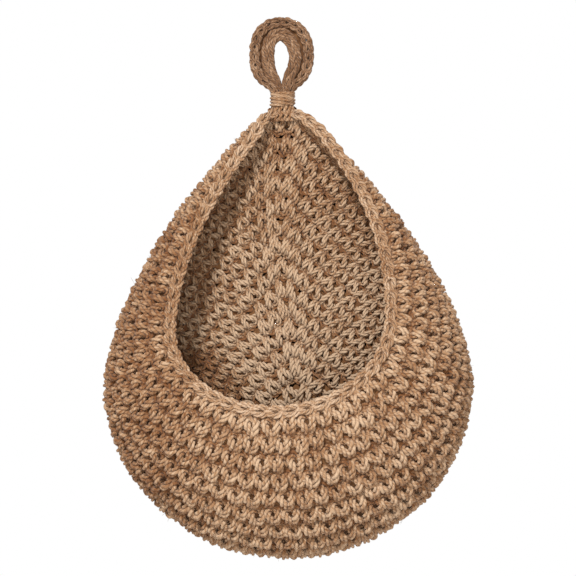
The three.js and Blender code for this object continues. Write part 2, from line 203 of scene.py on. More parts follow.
def reach_to_outline(start, direction):
    """How far the outline lies from the mouth's edge in those directions, found by halving."""
    near = np.zeros(len(start))
    far = np.full(len(start), 2 * BODY_HALF_WIDTH)
    for _ in range(40):
        middle = (near + far) / 2
        x, z = (start + direction * middle[:, None]).T
        inside = np.abs(x) < outline_half_width(z)
        near = np.where(inside, middle, near)
        far = np.where(inside, far, middle)
    return near


GRID_U = np.linspace(-1, 1, 801)  # sections round the mouth
GRID_V = np.arange(-4.0, 142.0, 1.0)  # distances from the rim along a section
FOOT = len(GRID_U) // 2  # the section under the mouth
START = mouth_edge(GRID_U)
DIRECTION = mouth_normals(GRID_U)
WIDEST = reach_to_outline(START, DIRECTION) - FABRIC / 2
DOWN = np.maximum(0, (PANEL_TOP_Z - START[:, 1]) / MOUTH_HEIGHT)
FORWARD = (DEPTH_FOOT - DEPTH_NECK) * DOWN ** DEPTH_POWER
RIM_DEPTH = DEPTH_NECK + FORWARD
INSET = FABRIC / 2 + EDGE_INSET * FORWARD
PANEL_EDGE = START + DIRECTION * (WIDEST - INSET)[:, None]


def wall_sections():
    """Lines from the rim round the widest line to the panel, as distances out and depths off the wall."""
    rim_edge = RIM_WIDTH + FIT
    widest_depth = FABRIC + WIDEST_DEPTH * FORWARD
    tuck = 1 - smooth(WIDEST - rim_edge, 0, FABRIC)
    first_out = mix(rim_edge, np.minimum(rim_edge, WIDEST), tuck)
    first_depth = RIM_DEPTH - tuck * (RIM_THICKNESS / 2 + FIT + FABRIC / 2 - GROOVE)
    turn = np.linspace(0, math.pi / 2, 61)
    front_out = first_out[:, None] + (WIDEST - first_out)[:, None] * np.sin(turn)
    front_depth = widest_depth[:, None] + (first_depth - widest_depth)[:, None] * np.cos(turn)
    back_out = WIDEST[:, None] - (INSET - SEAM)[:, None] * (1 - np.cos(turn))
    back_depth = FABRIC / 2 + (widest_depth - FABRIC / 2)[:, None] * (1 - np.sin(turn))
    out = np.concatenate([front_out, back_out[:, 1:]], 1)
    depth = np.concatenate([front_depth, back_depth[:, 1:]], 1)
    return np.stack([out, depth], 2)


def wall_grid():
    """The wall's middle, section by section, which runs on straight past both ends. Also its lengths."""
    grid = np.zeros((len(GRID_U), len(GRID_V), 3))
    totals = np.zeros(len(GRID_U))
    for i, section in enumerate(wall_sections()):
        run = distances(section)
        totals[i] = run[-1]
        first, last = unit(np.stack([section[1] - section[0], section[-1] - section[-2]]))
        before = np.minimum(GRID_V, 0)[:, None]
        after = np.maximum(GRID_V - totals[i], 0)[:, None]
        line = between(np.clip(GRID_V, 0, totals[i]), run, section) + before * first + after * last
        grid[i, :, ::2] = START[i] + DIRECTION[i] * line[:, :1]
        grid[i, :, 1] = STANDOFF - line[:, 1]
    return grid, totals


def grid_normals(grid):
    """Directions off the wall, outwards."""
    return unit(np.cross(np.gradient(grid, axis=1), np.gradient(grid, axis=0)))


WALL, TOTAL = wall_grid()
WALL_NORMAL = grid_normals(WALL)
FOOT_ROUND = TOTAL[FOOT] / POCKET_ROUNDS  # height of a pocket round under the mouth


def sample_grid(grid, i, j):
    """Vectors between the grid's own ones."""
    i = np.clip(i, 0, grid.shape[0] - 1.001)
    j = np.clip(j, 0, grid.shape[1] - 1.001)
    a, b = i.astype(int), j.astype(int)
    across, along = (i - a)[:, None], (j - b)[:, None]
    near = grid[a, b] * (1 - across) + grid[a + 1, b] * across
    far = grid[a, b + 1] * (1 - across) + grid[a + 1, b + 1] * across
    return near * (1 - along) + far * along


def wall_point(u, v, w):
    """A point of the wall: its section, its distance from the rim, and its height off the middle."""
    i = (u + 1) / 2 * (len(GRID_U) - 1)
    j = v - GRID_V[0]
    return sample_grid(WALL, i, j) + sample_grid(WALL_NORMAL, i, j) * w[:, None]


def panel_ring():
    """The panel's whole edge: the one that the wall gives it, and the flat top under the neck."""
    top = [np.array([side * PANEL_TOP_HALF_WIDTH, PANEL_TOP_Z]) for side in (1, -1)]
    corners = [PANEL_EDGE[-1], *top, PANEL_EDGE[0]]
    steps = np.arange(1, 13)[:, None] / 12
    closing = [mix(a, b, steps) for a, b in zip(corners[:-1], corners[1:])]
    return np.concatenate([PANEL_EDGE, *closing]) - (START_X, START_Z)


# The edge as seen from the panel's start: its angles and reaches at places t from 0 to 1
RING = panel_ring()
RING_T = np.linspace(0, 1, len(RING))
RING_TURN = np.unwrap(np.arctan2(RING[:, 1], RING[:, 0]))
RING_REACH = np.hypot(RING[:, 0], RING[:, 1])


def panel_point(t, share, w):
    """A point of the panel: its place round the start, its share of the way to the edge, and its height."""
    t = t % 1.0
    angle = np.interp(t, RING_T, RING_TURN)
    swell = SWELL * smooth(np.sin(angle), SWELL_LOW, SWELL_HIGH) * np.abs(np.cos(angle))
    radius = share * (np.interp(t, RING_T, RING_REACH) + (1 - share) * swell)
    angle = angle + PEAK_LEAN * (4 * share * (1 - share)) ** 2
    y = STANDOFF - FABRIC / 2 - w
    return np.stack([START_X + radius * np.cos(angle), y, START_Z + radius * np.sin(angle)], 1)


# Painted light and shade on the jute from place to place, added to a strand's own tone

def painted_light_and_shade(points):
    """Painted shade on the left side and high on the flanks, painted light at the mouth's foot, and darker
    yarn in the loop.
    """
    x, z = points[:, 0], points[:, 2]
    left = 0.10 * smooth(-x, 35, 85)
    right = 0.02 * smooth(x, 35, 90)
    flanks = 0.055 * smooth(np.abs(x), 30, 60) * smooth(z, -150, -110)
    loop = 0.065 * smooth(z, -34, -28)
    foot = 0.05 * smooth(z, -232, -214) * (1 - smooth(z, -190, -165)) * (1 - smooth(np.abs(x), 25, 55))
    return 0.018 - left - right - flanks - loop + foot


def painted_inside_light_and_shade(points):
    """Painted light on the panel inside the mouth, low down and to both sides, and a painted shadow in its
    low left corner.
    """
    x, z = points[:, 0], points[:, 2]
    low = np.minimum(z - MOUTH_WIDEST_Z, 0) / MOUTH_LOWER
    pale = 0.08 * smooth(-z, 80, 170) * smooth(x, -40, 0)
    left = 0.06 * smooth(-x, 0, 18) * (1 - smooth(-x, 36, 50)) * smooth(-z, 100, 130)
    right = 0.06 * smooth(x, 28, 44) * smooth(-z, 120, 145)
    foot = 0.06 * smooth(-z, 190, 200) * smooth(x, -32, -18) * (1 - smooth(x, 4, 22))
    edge = 0.09 * smooth(-x, 44, 52) * smooth(-z, 146, 160) * (1 - smooth(-z, 172, 184))
    rounded = np.hypot(x / MOUTH_HALF_WIDTH, low)
    corner = 0.15 * smooth(rounded, 0.74, 0.88) * smooth(-x, 22, 32) * smooth(-z, 176, 188)
    return pale + left + right + foot + edge - corner


# Yarn

PLY_SHARES = {2: (0.5, 0.56), 3: (0.56, 0.5)}  # how far out the plies lie, and their own radius
PLY_TONE = 0.045  # how much lighter each ply is than the one before
UV_SCALE = 0.1  # the map counts centimetres along a strand
FIBRE_SIDES, FIBRE_RADII = 3, np.linspace(0.10, 0.04, 5)


class Strands:
    """Collects strands of yarn and sheets of its inner mass, and writes them as one mesh."""

    def __init__(self):
        self.verts, self.faces, self.uvs, self.tones, self.kinds = [], [], [], [], []
        self.count = 0

    def tube(self, path, radius, tone, sides, plies=0, lay=PLY_LAY, phase=0.0):
        """A strand along a path. With plies it is that many thinner ones twisted together."""
        path = np.asarray(path, float)
        a, b = self.turning_frames(path)
        length = distances(path)
        radius = np.broadcast_to(np.asarray(radius, float), (len(path),))
        tone = np.broadcast_to(np.asarray(tone, float), (len(path),))
        if not plies:
            self.skin(path, a, b, radius, length, tone, sides)
            return
        out, thick = PLY_SHARES[plies]
        twist = 2 * math.pi * length / lay + phase
        for ply in range(plies):
            angle = twist + 2 * math.pi * ply / plies
            swing = (radius * out)[:, None]
            centre = path + a * swing * np.cos(angle)[:, None] + b * swing * np.sin(angle)[:, None]
            slow = 0.1 * np.sin(length * 0.9 + 2.1 * ply + phase)
            quick = 0.08 * np.sin(length * 2.3 + 4 * ply + phase)
            uneven = radius * (1 + slow + quick) * thick
            self.skin(centre, a, b, uneven, length, tone + PLY_TONE * (ply - 1), sides)

    @staticmethod
    def turning_frames(path):
        """Two directions across a path at each point, which turn no more than the path does."""
        tangent = unit(np.gradient(path, axis=0))
        last = tuple(unit(np.cross(tangent[0], (0.31, 0.57, 0.76))))
        frames = [last]
        for t in tangent[1:].tolist():
            dot = last[0] * t[0] + last[1] * t[1] + last[2] * t[2]
            x, y, z = last[0] - dot * t[0], last[1] - dot * t[1], last[2] - dot * t[2]
            size = math.sqrt(x * x + y * y + z * z) or 1.0
            last = (x / size, y / size, z / size)
            frames.append(last)
        a = np.array(frames, float)
        return a, np.cross(tangent, a)

    def skin(self, path, a, b, radius, length, tone, sides):
        """The closed surface of one strand or ply."""
        n = len(path)
        angle = (np.arange(sides) / sides * 2 * math.pi)[None, :, None]
        ring = a[:, None, :] * np.cos(angle) + b[:, None, :] * np.sin(angle)
        points = path[:, None, :] + radius[:, None, None] * ring
        base = self.count
        i = np.arange(n - 1)[:, None]
        j = np.arange(sides)[None, :]
        near = base + i * sides + j
        far = base + i * sides + (j + 1) % sides
        quads = np.stack([near, far, far + sides, near + sides], 2).reshape(-1, 4)
        along = length * UV_SCALE
        u0 = np.broadcast_to(along[:-1, None], (n - 1, sides))
        u1 = np.broadcast_to(along[1:, None], (n - 1, sides))
        v0 = np.broadcast_to(j / sides, (n - 1, sides))
        v1 = v0 + 1 / sides
        corners = [np.stack(corner, 2) for corner in ((u0, v0), (u0, v1), (u1, v1), (u1, v0))]
        self.add(points.reshape(-1, 3), np.repeat(tone, sides), quads, np.stack(corners, 2).reshape(-1, 2))
        for end, step in ((0, 1), (n - 1, 0)):
            centre = np.full(sides, self.count)
            near = base + end * sides + (j[0] + step) % sides
            far = base + end * sides + (j[0] + 1 - step) % sides
            cap = np.stack([near, far, centre, centre], 1)
            cap_uvs = np.tile([[along[end], 0.5]], (sides * 4, 1))
            self.add(path[end][None, :], tone[end:end + 1], cap, cap_uvs)

    def add(self, points, tones, faces, uvs, kind=0):
        """Points and faces of one more surface. A face with its last corner twice is a triangle."""
        self.verts.append(points)
        self.tones.append(tones)
        self.faces.append(faces)
        self.uvs.append(uvs)
        self.kinds.append(np.full(len(faces), kind))
        self.count += len(points)

    def fuzz(self, path, radius, count, local):
        """Loose fibres that stand off a strand, none of them into the wall."""
        t = np.linspace(0, 1, len(FIBRE_RADII))[:, None]
        for at in local.integers(2, len(path) - 3, count):
            along = unit(path[at + 1] - path[at])
            out = unit(np.cross(along, local.normal(0, 1, 3)))
            curl = local.normal(0, 0.55, 3)
            reach = local.uniform(0.9, 2.8)
            hair = path[at] + out * radius[at] * 0.8
            hair = hair + (along * 0.9 + out * 0.6) * reach * t + curl * reach * t * t
            hair[:, 1] = np.minimum(hair[:, 1], STANDOFF)
            self.tube(hair, FIBRE_RADII, local.normal(0.08, 0.06), sides=FIBRE_SIDES)

    def sheet(self, grid):
        """A sheet of the inner mass, in the second material, whose dark colour is painted shade."""
        rows, cols = grid.shape[:2]
        a = self.count + np.arange(rows - 1)[:, None] * cols + np.arange(cols - 1)[None, :]
        quads = np.stack([a, a + 1, a + cols + 1, a + cols], 2).reshape(-1, 4)
        self.add(grid.reshape(-1, 3), np.zeros(rows * cols), quads, np.zeros((len(quads) * 4, 2)), 1)

    def write(self, name, materials):
        """The collected surfaces as one mesh object, in metres."""
        points = np.concatenate(self.verts)
        quads = np.concatenate(self.faces)
        triangle = quads[:, 2] == quads[:, 3]
        sizes = np.where(triangle, 3, 4)
        keep = np.ones((len(quads), 4), bool)
        keep[triangle, 3] = False
        starts = np.concatenate([[0], np.cumsum(sizes)[:-1]])
        uvs = np.concatenate(self.uvs).reshape(-1, 4, 2)
        # Painted light and shade from place to place, added to each strand's own tone
        tones = np.concatenate(self.tones) + painted_light_and_shade(points)
        mesh = bpy.data.meshes.new(name)
        mesh.vertices.add(len(points))
        mesh.vertices.foreach_set("co", (points * 0.001).astype(np.float32).ravel())
        mesh.loops.add(int(sizes.sum()))
        mesh.loops.foreach_set("vertex_index", quads[keep].astype(np.int32))
        mesh.polygons.add(len(quads))
        mesh.polygons.foreach_set("loop_start", starts.astype(np.int32))
        mesh.polygons.foreach_set("material_index", np.concatenate(self.kinds).astype(np.int32))
        mesh.polygons.foreach_set("use_smooth", np.ones(len(quads), bool))
        layer = mesh.uv_layers.new(name="yarn")
        layer.data.foreach_set("uv", uvs[keep].astype(np.float32).ravel())
        attribute = mesh.attributes.new("tone", "FLOAT", "POINT")
        attribute.data.foreach_set("value", tones.astype(np.float32))
        mesh.update(calc_edges=True)
        mesh.validate()
        for material in materials:
            mesh.materials.append(material)
        piece = bpy.data.objects.new(name, mesh)
        bpy.context.scene.collection.objects.link(piece)
        return piece


# Materials

class Nodes:
    """Adds nodes to a tree. An input is given as a value or as another node's output."""

    def __init__(self, tree):
        self.tree = tree
        tree.nodes.clear()

    def add(self, kind, inputs=(), **settings):
        node = self.tree.nodes.new("ShaderNode" + kind)
        for name, value in settings.items():
            setattr(node, name, value)
        for key, value in dict(inputs).items():
            if isinstance(value, bpy.types.NodeSocket):
                self.tree.links.new(value, node.inputs[key])
            else:
                node.inputs[key].default_value = value
        return node

    def math(self, operation, *values):
        return self.add("Math", dict(enumerate(values)), operation=operation).outputs[0]


def jute(name, dark, middle, light, ply_height=0.55):
    """Twisted jute: ridges wound along the strand, fine fibres along them, uneven colour, and painted shade
    in the grooves between the ridges.
    """
    material = bpy.data.materials.new(name)
    material.use_nodes = True
    tree = Nodes(material.node_tree)
    place = tree.add("TexCoord").outputs["Object"]
    strand = tree.add("SeparateXYZ", {0: tree.add("UVMap", uv_map="yarn").outputs["UV"]})
    along, around = strand.outputs[0], strand.outputs[1]
    # Two ridges round the strand, which wind along it a little over twice in a centimetre
    lane = tree.math("ADD", tree.math("MULTIPLY", along, 2.1), around)
    wave = tree.math("SINE", tree.math("MULTIPLY", lane, 4 * math.pi))
    half_wave = tree.math("ABSOLUTE", tree.math("MULTIPLY_ADD", wave, 0.5, 0.5))
    plies = tree.math("POWER", half_wave, 0.6)
    # Fibres: noise drawn out along the ridges, and different in every place of the basket
    drawn = {0: tree.math("MULTIPLY", along, 1.6), 1: tree.math("MULTIPLY", lane, 3.2)}
    spread = {0: place, 1: (90, 90, 90), 2: tree.add("CombineXYZ", drawn).outputs[0]}
    grain = tree.add("VectorMath", spread, operation="MULTIPLY_ADD").outputs[0]
    fine = {"Vector": grain, "Scale": 2.2, "Detail": 5, "Roughness": 0.65}
    fibre = tree.add("TexNoise", fine).outputs["Fac"]
    # Lighter and darker stretches of yarn, about a centimetre long
    broad = tree.add("TexNoise", {"Vector": place, "Scale": 95, "Detail": 3}).outputs["Fac"]
    tone = tree.add("Attribute", attribute_name="tone").outputs["Fac"]
    mixed = tree.math("MULTIPLY_ADD", fibre, 0.72, tree.math("MULTIPLY", broad, 0.28))
    toned = tree.math("SUBTRACT", tree.math("ADD", mixed, tone), 0.06)
    # The ridges also set the colour: painted light on them and painted shade in the grooves between them
    ramp = tree.add("ValToRGB", {"Fac": tree.math("MULTIPLY_ADD", plies, 0.10, toned)})
    stops = ramp.color_ramp.elements
    stops[0].position, stops[1].position = 0.34, 0.66
    stops[0].color, stops[1].color = (*dark, 1), (*light, 1)
    stops.new(0.5).color = (*middle, 1)
    height = tree.math("MULTIPLY_ADD", fibre, 0.45, tree.math("MULTIPLY", plies, ply_height))
    bump = tree.add("Bump", {"Height": height, "Strength": 0.75, "Distance": 0.0006})
    surface = {"Base Color": ramp.outputs["Color"], "Normal": bump.outputs["Normal"], "Roughness": 0.86,
               "Specular IOR Level": 0.2, "Sheen Weight": 0.12, "Sheen Roughness": 0.6}
    shader = tree.add("BsdfPrincipled", surface)
    tree.add("OutputMaterial", {"Surface": shader.outputs["BSDF"]})
    return material


def linear(r, g, b):
    """A colour of usual 0 to 255 values, as the shader takes it."""
    return tuple(((c / 255 + 0.055) / 1.055) ** 2.4 if c > 10 else c / 255 / 12.92 for c in (r, g, b))


JUTE = jute("jute_yarn", linear(118, 76, 42), linear(157, 121, 88), linear(192, 164, 135))
JUTE_LIGHT = jute("jute_rim", linear(122, 81, 47), linear(162, 128, 96), linear(196, 170, 144))
JUTE_LOOP = jute("jute_loop", linear(98, 66, 40), linear(143, 110, 82), linear(180, 151, 124))
# The inner mass behind the stitches is the same jute painted darker: painted shade in the gaps between them
CORE_WITH_PAINTED_SHADE = jute("jute_inside_painted_shade", linear(74, 45, 22), linear(100, 66, 37), linear(122, 86, 52), ply_height=0.2)


# Rows of single crochet

# One stitch, up to the middle of its head. In each point: the place along the row in stitches, the
# place up the row from its foot at 0 to its head at 1, the height off the fabric's middle, and the tone,
# which is painted shade where the strand dives into the fabric and painted light where it stands in front.
HALF_STITCH = np.array([
    (-0.50, 0.58, -1.9, -0.01),
    (-0.26, 0.48, -2.0, -0.01),
    (-0.08, 0.13, -1.9, -0.08),
    (-0.08, 0.07, -1.3, -0.12),
    (-0.10, 0.15, -0.3, -0.08),
    (-0.16, 0.31, 1.1, 0.00),
    (-0.25, 0.53, 1.9, 0.04),
    (-0.32, 0.71, 1.4, 0.02),
    (-0.29, 0.85, 0.0, -0.05),
    (-0.10, 0.92, -1.2, -0.12),
])
STITCH = np.concatenate([HALF_STITCH, HALF_STITCH[:0:-1] * (-1, 1, 1, 1)])
STITCH_LEAN = 0.08  # how far a stitch leans along the row over its height
STITCH_SIZES = 0.62, 1.1  # least and most size of a stitch, of one in a row of the usual height
STITCH_FIBRES = 4  # loose fibres for each stitch
THINNEST_ROW = 0.35  # least height of a pocket row where it runs out, of a full one
EASE = 8  # sections to either side over which the edge of a pocket row is eased
CORE_PLACES, CORE_DEPTH = (-0.25, 0.5, 1.25), -0.9  # the inner mass, up the row and off the middle


def crochet_row(place, count, seed, yarn, sides, inside=False):
    """A row of count stitches. place(a, g, w) turns a stitch's own coordinates into points."""
    strands = Strands()
    local = np.random.default_rng(seed)
    shift_a = local.normal(0, 0.055, count)
    shift_g = local.normal(0, 0.06, count)
    tone = local.normal(0, 0.03, count)
    size = local.normal(1, 0.09, count)
    lift = local.normal(0, 0.35, count)
    lean = STITCH_LEAN + local.normal(0, 0.10, count)
    centres = np.arange(count) + 0.5
    flat = np.zeros(count)
    height = np.linalg.norm(place(centres, flat, flat) - place(centres, flat + 1, flat), axis=1)
    full = np.clip(np.sqrt(height / ROW), *STITCH_SIZES)

    stitches = []
    for i in range(count):
        stitch = STITCH.copy()
        stitch[:, 0] = stitch[:, 0] * size[i] + centres[i] + shift_a[i] - lean[i] * (stitch[:, 1] - 0.4)
        stitch[:, 1] += shift_g[i]
        stitch[:, 2] = full[i] * (stitch[:, 2] + lift[i] * (stitch[:, 2] > 0))
        stitch[:, 3] += tone[i]
        stitches.append(stitch)
    fine = spline(np.concatenate(stitches), 3)
    path = place(fine[:, 0], fine[:, 1], fine[:, 2])
    radius = yarn * np.interp(fine[:, 0], centres, full)
    # Inside the mouth the panel's rows also get painted light and a painted shadow
    inside_painted_tone = painted_inside_light_and_shade(path) if inside else 0.0
    strands.tube(path, radius, fine[:, 3] + inside_painted_tone, sides=sides, plies=3, lay=YARN_LAY, phase=seed)
    strands.fuzz(path, radius, count * STITCH_FIBRES, local)

    # The chains: one between the feet of the stitches, and one behind their heads. The one between the
    # feet is painted darker, as shade in the groove between the rows.
    a = np.linspace(0.0, count, count * 8 + 1)
    beat = np.cos(2 * math.pi * a)
    chain_tone_and_painted_shade = np.interp(a, centres, tone[::-1]) - 0.16
    bulge = np.interp(a, centres, local.normal(1, 0.15, count))
    thick = np.interp(a, centres, full)
    front = place(a, 0.01 + 0.11 * bulge * beat, thick * (-1.4 + 0.4 * bulge * beat))
    back = place(a, 0.90 - 0.05 * beat, thick * (-1.6 - 0.2 * bulge * beat))
    chains = (front, chain_tone_and_painted_shade), (back, chain_tone_and_painted_shade + 0.15)
    for number, (line, line_tone) in enumerate(chains, 1):
        strands.tube(line, yarn * CHAIN_YARN * thick, line_tone, sides=6, plies=2, phase=seed + number)

    rows = np.linspace(0, count, count * 4 + 1)
    deep = np.full(len(rows), CORE_DEPTH)
    strands.sheet(np.stack([place(rows, np.full(len(rows), g), deep) for g in CORE_PLACES], 1))
    return strands


def pocket_row(k):
    """Round k of the pocket, from the rim. It ends on both sides where the wall has no room for it."""
    height = FOOT_ROUND * mix(1, SIDE_ROUND, smooth(np.abs(GRID_U), 0, MOUTH_SPLIT))
    whole = np.minimum(np.maximum(1, np.ceil(TOTAL / height - LEAST_ROW)), POCKET_ROUNDS)
    index = np.nonzero(whole >= k)[0]
    part = slice(index[0], index[-1] + 1)
    u, height, whole = GRID_U[part], height[part], whole[part]
    start = (k - 1) * height
    end = np.where(whole > k, k * height, TOTAL[part])
    end = np.maximum(end, start + THINNEST_ROW * height)
    kernel = np.hanning(2 * EASE + 1)
    end = np.convolve(np.pad(end, EASE, mode="edge"), kernel / kernel.sum(), mode="valid")
    run = distances(wall_point(u, (start + end) / 2, np.zeros(len(u))))
    count = 2 * max(2, int(round(run[-1] / PITCH / 2)))
    pitch = run[-1] / count

    def place(a, g, w):
        at = np.interp(a * pitch, run, u)
        near = np.interp(at, u, start)
        far = np.interp(at, u, end)
        return wall_point(at, far + g * (near - far), w)

    return crochet_row(place, count, 100 + k, YARN, sides=6)


RING_PARTS = 1200
RING_STEPS = np.linspace(0, 1, RING_PARTS + 1)
FLANKS = math.radians(154), math.radians(26)  # where rows cross their columns squarely
SQUARE = 0.65  # how far the columns cross their rows squarely; the rest points to the panel's start
PEAK_STITCHES = 5.0  # how far from the peak the new stitches reach, at most
PEAK_SHARE = 0.45  # and of the stitches over the peak
PANEL_LIFT = 0.8  # how far the panel's stitches stand forward of its middle
PANEL_BACK = 0.8  # depth of their backs, which lie flat on the wall, of those of the pocket
Ring = namedtuple("Ring", "t run foot top")  # places, distances, and the lengths of the two parts


def panel_edge(share):
    """An edge between rows, from its left flank round the foot, and the lengths of its two parts."""
    turn = np.interp(RING_STEPS, RING_T, RING_TURN)
    apart = [np.abs((turn - flank + math.pi) % (2 * math.pi) - math.pi) for flank in FLANKS]
    left, right = (int(np.argmin(gap)) for gap in apart)
    t = RING_STEPS + left / RING_PARTS
    run = distances(panel_point(t, share, np.zeros(len(t))))
    foot = run[(right - left) % RING_PARTS]
    return Ring(t, run, foot, run[-1] - foot)


def panel_row(k):
    """Round k of the panel, from its start. New stitches are made round the foot and at the peak."""
    outer, middle, inner = ((k - part) / PANEL_ROUNDS for part in (0, 0.5, 1))
    centre_line = panel_edge(middle)
    foot_count = max(3, int(round(centre_line.foot / PANEL_PITCH)))
    top_count = max(3, int(round(centre_line.top / PANEL_PITCH)))
    count = foot_count + top_count
    peak = min(PEAK_STITCHES, PEAK_SHARE * top_count)
    edges = (outer, panel_edge(outer)), (inner, panel_edge(inner))

    def on_edge(edge, a):
        up = a - foot_count
        wider = smooth(up, top_count / 2 - peak, top_count / 2 + peak)
        over = edge.foot + up * PANEL_PITCH + (edge.top - top_count * PANEL_PITCH) * wider
        return np.interp(np.where(up < 0, a * edge.foot / foot_count, over), edge.run, edge.t)

    def place(a, g, w):
        a = (a + foot_count // 2) % count
        t = on_edge(centre_line, a)
        lift = PANEL_LIFT + np.where(w < 0, PANEL_BACK * w, w)
        feet, heads = (panel_point(mix(t, on_edge(edge, a), SQUARE), share, lift) for share, edge in edges)
        return mix(feet, heads, g[:, None])

    return crochet_row(place, count, 200 + k, PANEL_YARN, sides=5, inside=True)


# Ropes and chains along a line

# Points, the directions across the lane and off it, distances, and full, which is 0 at drawn-in ends
Lane = namedtuple("Lane", "line across off run full")

# One leg of a link: the place along it in links, how far it parts from the other, and its height
LINK = spline([
    (-0.15, 0.10, -0.9),
    (0.00, 0.15, 0.4),
    (0.22, 0.60, 1.2),
    (0.50, 1.0, 1.4),
    (0.80, 1.0, 1.2),
    (1.02, 0.65, 0.4),
    (1.12, 0.20, -0.8),
], 4)


def make_lane(points, step, passes, drawn_in):
    """An eased line through the points. drawn_in: from where to where its ends grow full."""
    run = distances(points)
    even = np.linspace(0, run[-1], int(run[-1] / step))
    line = between(even, run, points)
    for _ in range(passes):
        line[1:-1] = (line[:-2] + 2 * line[1:-1] + line[2:]) / 4
    tangent = unit(np.gradient(line, axis=0))
    across = unit(np.cross(FRONT, tangent))
    off = np.cross(tangent, across)
    return Lane(line, across, off, even, smooth(np.minimum(even, even[-1] - even), *drawn_in))


def rope_layer(asides, off, hand):
    """Places of ropes side by side, each twisted the other way than its neighbour."""
    return [(aside, off, hand * (-1) ** i) for i, aside in enumerate(asides)]


def ropes(strands, lane, places, lay, tone, least):
    """Ropes at their places across and off a lane. least is how near they draw in at its ends."""
    drawn = mix(least, 1, lane.full)[:, None]
    for number, (aside, off, hand) in enumerate(places):
        wander = 0.12 * np.sin(np.arange(len(lane.line)) * 0.21 + 2.1 * number)[:, None]
        path = lane.line + lane.across * (aside * drawn + wander) + lane.off * (off * drawn)
        radius = ROPE * mix(0.5 + least / 2, 1, lane.full)
        own_tone = tone + rng.normal(0, 0.02)
        strands.tube(path, radius, own_tone, sides=7, plies=3, lay=lay * hand, phase=1.3 * number)


def chain(strands, lane, pitch, spread, radius, tone):
    """Crochet chain: links whose two legs part, lie side by side, and tuck in behind the next link."""
    length = lane.run[-1]
    count = int(round(length / pitch)) - 1
    for i in range(count):
        own_tone = tone + rng.normal(0, 0.025)
        at = np.clip((i + 0.1 + LINK[:, 0]) * length / (count + 1), 0, length)
        size = np.interp(at, lane.run, mix(0.6, 1, lane.full))
        line, across, off = (between(at, lane.run, part) for part in (lane.line, lane.across, lane.off))
        for side in (-1, 1):
            lift = (size * LINK[:, 2] + rng.normal(0, 0.1))[:, None]
            path = line + across * (side * spread * size * LINK[:, 1])[:, None] + off * lift
            strands.tube(path, radius * size, own_tone, sides=6, plies=3, lay=YARN_LAY * side, phase=i)


def rim_braid():
    """The rim: a chain round the mouth on two ropes, whose ends run on up into the neck."""
    u = np.linspace(-1, 1, 700)
    depth = np.interp(u, GRID_U, RIM_DEPTH)
    middle = between(u, GRID_U, START) + unit(between(u, GRID_U, DIRECTION)) * RIM_WIDTH / 2
    round_mouth = np.stack([middle[:, 0], STANDOFF - depth, middle[:, 1]], 1)
    ends = []
    for end, side in ((0, -1), (-1, 1)):
        first = round_mouth[end]
        bend = np.array([side * 5.2, -2.6, PANEL_TOP_Z - 0.5])
        last = np.array([side * 3.0, 0.2, WRAP_FOOT_Z + 1.5])
        ends.append(spline([first, mix(first, bend, 0.55), bend, last], 8))
    left, right = ends
    points = np.concatenate([left[:0:-1], round_mouth, right[1:]])
    lane = make_lane(points, step=1.1, passes=6, drawn_in=(0, 22))
    strands = Strands()
    chain(strands, lane, pitch=8.7, spread=2.1, radius=1.7, tone=0.0)
    ropes(strands, lane, rope_layer((-1.2, 1.2), -1.2, -1), lay=17.0, tone=-0.02, least=0.6)
    return strands


# Neck

def neck_winding():
    """Yarn wound round the neck, each turn against the last."""
    turns, from_end = 4.25, 1.2  # from_end: from the wrap's ends to the middle of the yarn
    half_width, half_depth, start = 6.2, 5.1, 2.2
    a = np.linspace(0, turns, int(turns * 40))
    angle = 2 * math.pi * a
    climb = (WRAP_TOP_Z - WRAP_FOOT_Z - 2 * from_end) / (turns - 0.25)
    z = WRAP_FOOT_Z + from_end + np.clip(a - 0.1, 0, turns) * climb
    wobble = 0.12 * np.sin(a * 9.1) + 0.1 * np.sin(a * 5.3 + 1)
    x = (half_width + wobble) * np.cos(angle + start)
    y = (half_depth + wobble) * np.sin(angle + start)
    z = np.minimum(z, WRAP_TOP_Z - from_end) + 0.15 * np.sin(angle)
    strands = Strands()
    strands.tube(np.stack([x, y, z], 1), 1.3, -0.03, sides=7, plies=3, lay=26.0)
    return strands


# Half width, half depth and height of the gathered ends, from the panel's top up into the wrap
NECK_LEVELS = np.array([
    (6.0, 3.6, PANEL_TOP_Z - 5.5),
    (5.6, 3.8, -41.2),
    (3.6, 2.6, -36.0),
    (3.6, 2.4, -30.6),
])
NECK_STRANDS = 12


def neck_strands():
    """The gathered ends of the yarn inside the wrap, with the inner mass behind them."""
    strands = Strands()
    for i in range(NECK_STRANDS):
        angle = i / NECK_STRANDS * 2 * math.pi + 0.3
        path = spline(NECK_LEVELS * (math.cos(angle), math.sin(angle), 1), 8)
        strands.tube(path, 1.7, rng.normal(0, 0.04), sides=7, plies=2)
    behind = [[(x, 2.6, z) for z in (-39.0, -43.0, -47.0)] for x in (-7.0, -2.5, 2.5, 7.0)]
    strands.sheet(np.array(behind))
    return strands


# Hanging loop

def loop_curve(angle, half_width, half_height, middle_z, power):
    """A rounded outline. The angle is 0 at its top and half a turn at its foot."""
    sine, cosine = np.sin(angle), np.cos(angle)
    x = half_width * np.sign(sine) * np.abs(sine) ** (2 / power)
    z = middle_z + half_height * np.sign(cosine) * np.abs(cosine) ** (2 / power)
    return np.stack([x, np.zeros(len(x)), z], 1)


